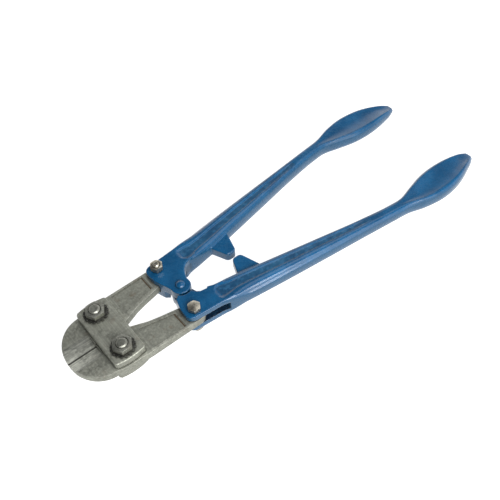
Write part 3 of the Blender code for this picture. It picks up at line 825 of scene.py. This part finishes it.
def paint(name, deep, pale, rough, cast, pitch=0.8, worn=0.15):
    """Gloss enamel over a forging: deep, slightly uneven, paler on its edges from thinner
    paint and a painted highlight, with painted shade on upright faces and in crevices.

    cast is how high the surface's own roughness stands, pitch how fine it is and
    worn how much paler its high spots are.
    """
    n = Nodes(name)
    patches = n.noise(0.04, 2.0)
    grain = n.noise(0.12, 3.0)
    colour = n.mix(n.band(patches, 0.35, 0.65), deep, pale)
    colour = n.mix(n.band(grain, 0.45, 0.7, 0.0, 0.5), colour, deep)
    spots = n.noise(pitch, 2.0)
    colour = n.mix(n.band(spots, 0.5, 0.6, 0.0, worn), colour, PALE_PAINT_AND_HIGHLIGHT)
    # Upright faces painted darker: painted shade.
    colour = n.mix(n.share(n.walls(), 0.75), colour, PAINTED_WALL_SHADE)
    # Paler sharp edges: thinner paint there, and a painted highlight along them.
    colour = n.mix(n.edges(0.8, 0.03, 0.3), colour, PALE_PAINT_AND_HIGHLIGHT)
    # Closed-in corners painted near black: painted shade.
    colour = n.mix(n.share(n.crevices(2.0), 0.6), colour, PAINTED_CREVICE_SHADE)
    roughness = n.band(n.noise(0.25, 3.0), 0.3, 0.7, rough - 0.04, rough + 0.06)
    waves = n.bump(n.noise(0.05, 2.0, (0.35, 1.0, 1.0)), 0.5, 0.4)
    peel = n.bump(spots, cast, 0.5, below=waves)
    n.link(n.band(n.walls(), 0.0, 1.0, 0.35, 0.2), n.shader.inputs["Coat Weight"])
    n.shader.inputs["IOR"].default_value = 1.48
    n.shader.inputs["Coat Roughness"].default_value = 0.12
    return n.finish(colour, roughness, peel, 0.0)


def steel(name, dark, pale, rough, stretch, stain=0.0, scratch=0.03, shine=0.6,
          stripe=None):
    """Bare steel: mottled, scratched one way, brighter on its edges from wear and a painted
    highlight, with painted shade on upright faces and in crevices.

    stretch is small along the scratches. stain is how much rust shows, scratch how
    deep the scratches are and shine how bright the edges. stripe is a line of
    another colour: (axis, centre, half width, colour).
    """
    n = Nodes(name)
    patches = n.noise(0.07, 4.0)
    grain = n.noise(0.4, 5.0)
    lines = n.noise(0.6, 3.0, stretch)
    colour = n.mix(n.band(patches, 0.3, 0.7), dark, pale)
    colour = n.mix(n.band(grain, 0.42, 0.62, 0.0, 0.8), colour, pale)
    colour = n.mix(n.band(lines, 0.42, 0.62, 0.0, 0.55), colour, dark)
    if stain:
        rust = n.share(n.band(n.noise(0.09, 5.0), 0.58, 0.75), stain)
        colour = n.mix(rust, colour, RUST)
    if stripe:
        axis, centre, half_width, tint = stripe
        colour = n.mix(n.near(axis, centre, half_width), colour, tint)
    # Upright faces painted darker: painted shade.
    colour = n.mix(n.share(n.walls(), 0.5), colour, UPRIGHT_STEEL_SHADE)
    # Bright sharp edges: partly wear, partly a painted highlight.
    colour = n.mix(n.share(n.edges(0.4), shine), colour, EDGE_WEAR_AND_HIGHLIGHT)
    # Closed-in corners and contacts painted dark: painted shade.
    colour = n.mix(n.share(n.crevices(2.5), 0.8), colour, PAINTED_STEEL_SHADE)
    roughness = n.band(n.noise(0.35, 4.0), 0.3, 0.7, rough - 0.07, rough + 0.09)
    normal = n.bump(lines, scratch, 0.5, below=n.bump(grain, 0.12, 0.5))
    return n.finish(colour, roughness, normal, 1.0)


# Pale blue of the worn high spots and of the edges' painted highlight.
PALE_PAINT_AND_HIGHLIGHT = (0.03, 0.14, 0.28)
# Painted shade on the enamel's upright faces.
PAINTED_WALL_SHADE = (0.002, 0.045, 0.095)
# Painted shade in the enamel's closed-in corners.
PAINTED_CREVICE_SHADE = (0.002, 0.012, 0.03)
RUST = (0.20, 0.10, 0.035)
OLD_RUST = (0.17, 0.12, 0.075)
# Painted shade in the steel's crevices and along the blades' seam.
PAINTED_STEEL_SHADE = (0.03, 0.028, 0.022)
# Painted shade on the steel's upright faces.
UPRIGHT_STEEL_SHADE = (0.085, 0.088, 0.074)
# Bright steel of the worn edges and their painted highlight.
EDGE_WEAR_AND_HIGHLIGHT = (0.62, 0.62, 0.58)

PAINT = paint("blue_enamel", (0.002, 0.068, 0.175), (0.007, 0.104, 0.25), 0.26, 0.02)
# Near-black enamel for the inside of the fork slot: painted shade.
SHADED_SLOT_PAINT = paint("slot_enamel_with_painted_shade", (0.001, 0.008, 0.02), (0.002, 0.012, 0.03),
                   0.45, 0.05)
CAST_PAINT = paint("blue_enamel_on_cast_face", (0.004, 0.056, 0.14), (0.012, 0.09, 0.19),
                   0.32, 0.9, 0.22, 0.6)
JAW_STEEL = steel("jaw_steel_skin", (0.30, 0.305, 0.262), (0.60, 0.61, 0.53), 0.62,
                  (1.0, 0.06, 1.0), 0.35)
# The dark stripe along the blades' seam is painted shade.
GROUND_STEEL = steel("ground_bevel_steel", (0.32, 0.325, 0.28), (0.90, 0.91, 0.81), 0.48,
                     (0.03, 1.0, 1.0), 0.15, 0.05, stripe=("Y", 0.0, 0.8, PAINTED_STEEL_SHADE))
PANEL_STEEL = steel("sunk_panel_steel", (0.28, 0.285, 0.245), (0.54, 0.55, 0.475), 0.62,
                    (1.0, 1.0, 1.0), 0.5,
                    stripe=("X", TIP_X + PANEL_REAR_X * MM, 0.6, OLD_RUST))
PLATE_STEEL = steel("plate_steel_skin", (0.29, 0.295, 0.253), (0.57, 0.58, 0.505), 0.64,
                    (1.0, 0.05, 1.0), 0.25, shine=0.25)
DARK_STEEL = steel("dark_fastener_steel", (0.22, 0.222, 0.195), (0.50, 0.505, 0.44), 0.5,
                   (1.0, 1.0, 1.0), 0.15)
WASHER_STEEL = steel("black_washer_steel", (0.06, 0.06, 0.055), (0.20, 0.20, 0.18), 0.45,
                     (1.0, 1.0, 1.0))
ZINC = steel("yellow_zinc", (0.50, 0.46, 0.37), (0.72, 0.68, 0.58), 0.34, (1.0, 1.0, 1.0))

handles()
rivet()
jaws()
plates()
jaw_fasteners()
arm_fasteners()


# ---- floor, light and camera -------------------------------------------------------
def floor():
    """Plain pale floor under the tool, glowing enough to come out white."""
    bm = bmesh.new()
    bmesh.ops.create_grid(bm, x_segments=1, y_segments=1, size=6.0)
    mesh = bpy.data.meshes.new("floor")
    bm.to_mesh(mesh)
    bm.free()
    n = Nodes("pale_floor")
    n.shader.inputs["Base Color"].default_value = (0.35, 0.35, 0.35, 1.0)
    n.shader.inputs["Roughness"].default_value = 0.9
    n.shader.inputs["Emission Color"].default_value = (1.0, 1.0, 1.0, 1.0)
    n.shader.inputs["Emission Strength"].default_value = 0.95
    mesh.materials.append(n.mat)
    obj = bpy.data.objects.new("floor", mesh)
    bpy.context.scene.collection.objects.link(obj)
    obj.location.z = CAD_BOX[0][2]


def direction(azimuth, elevation):
    """Unit vector from the object towards azimuth, elevation; azimuth 0 is -Y."""
    a, e = math.radians(azimuth), math.radians(elevation)
    return Vector((math.sin(a) * math.cos(e), -math.cos(a) * math.cos(e), math.sin(e)))


def softbox(name, azimuth, elevation, distance, size, power):
    """Soft rectangular light of so many watts, aimed at the object."""
    light = bpy.data.lights.new(name, "AREA")
    light.shape = "RECTANGLE"
    light.size, light.size_y = size
    light.energy = power
    obj = bpy.data.objects.new(name, light)
    bpy.context.scene.collection.objects.link(obj)
    out = direction(azimuth, elevation)
    obj.location = out * distance
    obj.rotation_euler = out.to_track_quat("Z", "Y").to_euler()


DIM_SKY = (0.12, 0.125, 0.135, 1.0)


def sky():
    """White low down, dim overhead and towards the blades, as in a studio tent."""
    world = bpy.data.worlds.new("studio")
    world.use_nodes = True
    tree = world.node_tree
    background = tree.nodes["Background"]
    coords = tree.nodes.new("ShaderNodeTexCoord")
    split = tree.nodes.new("ShaderNodeSeparateXYZ")
    tree.links.new(coords.outputs["Generated"], split.inputs[0])
    side = tree.nodes.new("ShaderNodeMapRange")
    side.inputs["From Min"].default_value = -1.0
    side.inputs["To Min"].default_value = 0.2
    tree.links.new(split.outputs["X"], side.inputs["Value"])
    tree.links.new(side.outputs["Result"], background.inputs["Strength"])
    shade = tree.nodes.new("ShaderNodeValToRGB")
    for stop, height, colour in zip(shade.color_ramp.elements, (0.2, 0.62),
                                    ((1.0, 1.0, 1.0, 1.0), DIM_SKY)):
        stop.position = height
        stop.color = colour
    tree.links.new(split.outputs["Z"], shade.inputs["Fac"])
    tree.links.new(shade.outputs["Color"], background.inputs["Color"])
    bpy.context.scene.world = world


def camera():
    """Camera at the photograph's viewing angle."""
    data = bpy.data.cameras.new("camera")
    data.sensor_width = 36.0
    data.lens = LENS
    data.clip_start = 0.01
    obj = bpy.data.objects.new("camera", data)
    bpy.context.scene.collection.objects.link(obj)
    back = direction(VIEW_AZIMUTH, VIEW_ELEVATION)
    azimuth = math.radians(VIEW_AZIMUTH)
    right = Vector((math.cos(azimuth), math.sin(azimuth), 0.0))
    up = back.cross(right)
    roll = math.radians(VIEW_ROLL)
    tilted_right = math.cos(roll) * right + math.sin(roll) * up
    tilted_up = -math.sin(roll) * right + math.cos(roll) * up
    turn = Matrix((tilted_right, tilted_up, back)).transposed()
    obj.matrix_world = Matrix.Translation(VIEW_TARGET + back * VIEW_DISTANCE) @ turn.to_4x4()
    bpy.context.scene.camera = obj


VIEW_AZIMUTH, VIEW_ELEVATION, VIEW_ROLL = -37.23, 49.82, -3.05
VIEW_TARGET = ORIGIN + Vector((196.93, -2.80, 0.0)) * MM
VIEW_DISTANCE = 0.59608
LENS = 44.38

bpy.context.scene.view_settings.view_transform = "Standard"
floor()
sky()
softbox("front_softbox", -10.0, 38.0, 1.6, (1.4, 0.9), 30.0)
softbox("low_softbox", -5.0, 20.0, 1.8, (2.4, 1.0), 12.0)
softbox("top_softbox", 95.0, 64.0, 1.6, (0.8, 0.8), 3.0)
softbox("back_softbox", 155.0, 24.0, 1.8, (2.4, 0.8), 4.0)
camera()
